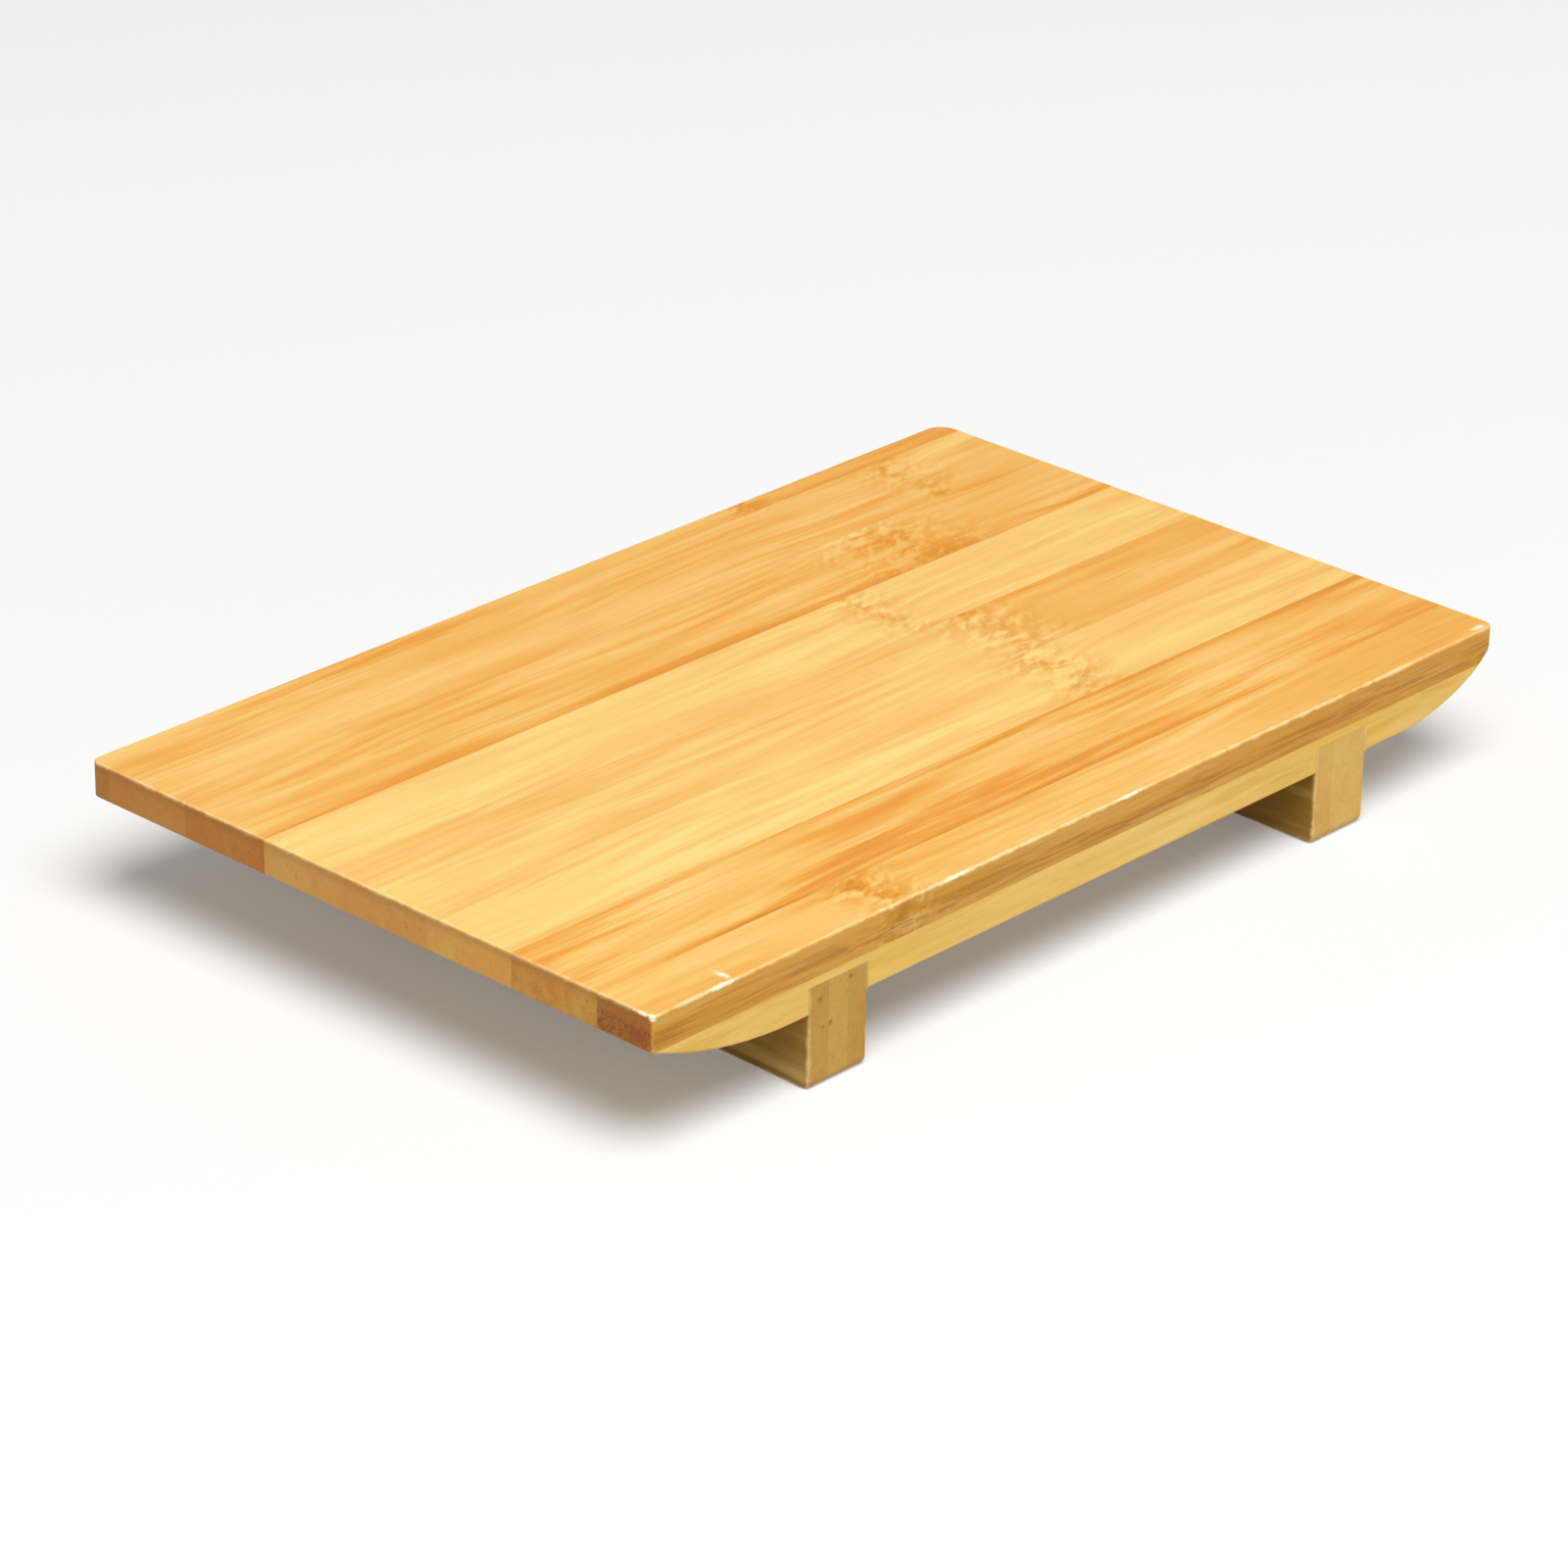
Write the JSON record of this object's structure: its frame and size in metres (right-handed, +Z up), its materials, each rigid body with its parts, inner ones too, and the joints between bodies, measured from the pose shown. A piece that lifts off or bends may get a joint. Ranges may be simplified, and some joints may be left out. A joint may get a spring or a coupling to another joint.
{
  "type": "sushi geta board",
  "caption": "Bamboo sushi geta: a flat rectangular serving board of glued strips with upswept ends, raised on cross legs let into its underside.",
  "frame": {"origin": "on the table, under the middle of the board", "axes": "+X along the board's length, -Y towards the guest, +Z up"},
  "size_m": [0.24, 0.15, 0.03],
  "materials": {
    "bamboo_amber": "satin lacquer",
    "bamboo_honey": "satin lacquer",
    "bamboo_straw": "satin lacquer",
    "bamboo_leg": "satin lacquer"
  },
  "bodies": {
    "root": {"upper_strip_1": "bamboo_amber", "upper_strip_2": "bamboo_honey", "upper_strip_3": "bamboo_honey", "upper_strip_4": "bamboo_straw", "upper_strip_5": "bamboo_straw", "upper_strip_6": "bamboo_straw", "upper_strip_7": "bamboo_amber", "upper_strip_8": "bamboo_honey", "lower_strip_1": "bamboo_honey", "lower_strip_2": "bamboo_straw", "lower_strip_3": "bamboo_honey", "lower_strip_4": "bamboo_straw", "lower_strip_5": "bamboo_honey", "lower_strip_6": "bamboo_straw", "lower_strip_7": "bamboo_straw", "left_leg_outer_lamination": "bamboo_leg", "left_leg_core_lamination": "bamboo_leg", "left_leg_inner_lamination": "bamboo_leg", "right_leg_outer_lamination": "bamboo_leg", "right_leg_core_lamination": "bamboo_leg", "right_leg_inner_lamination": "bamboo_leg"}
  },
  "joints": []
}
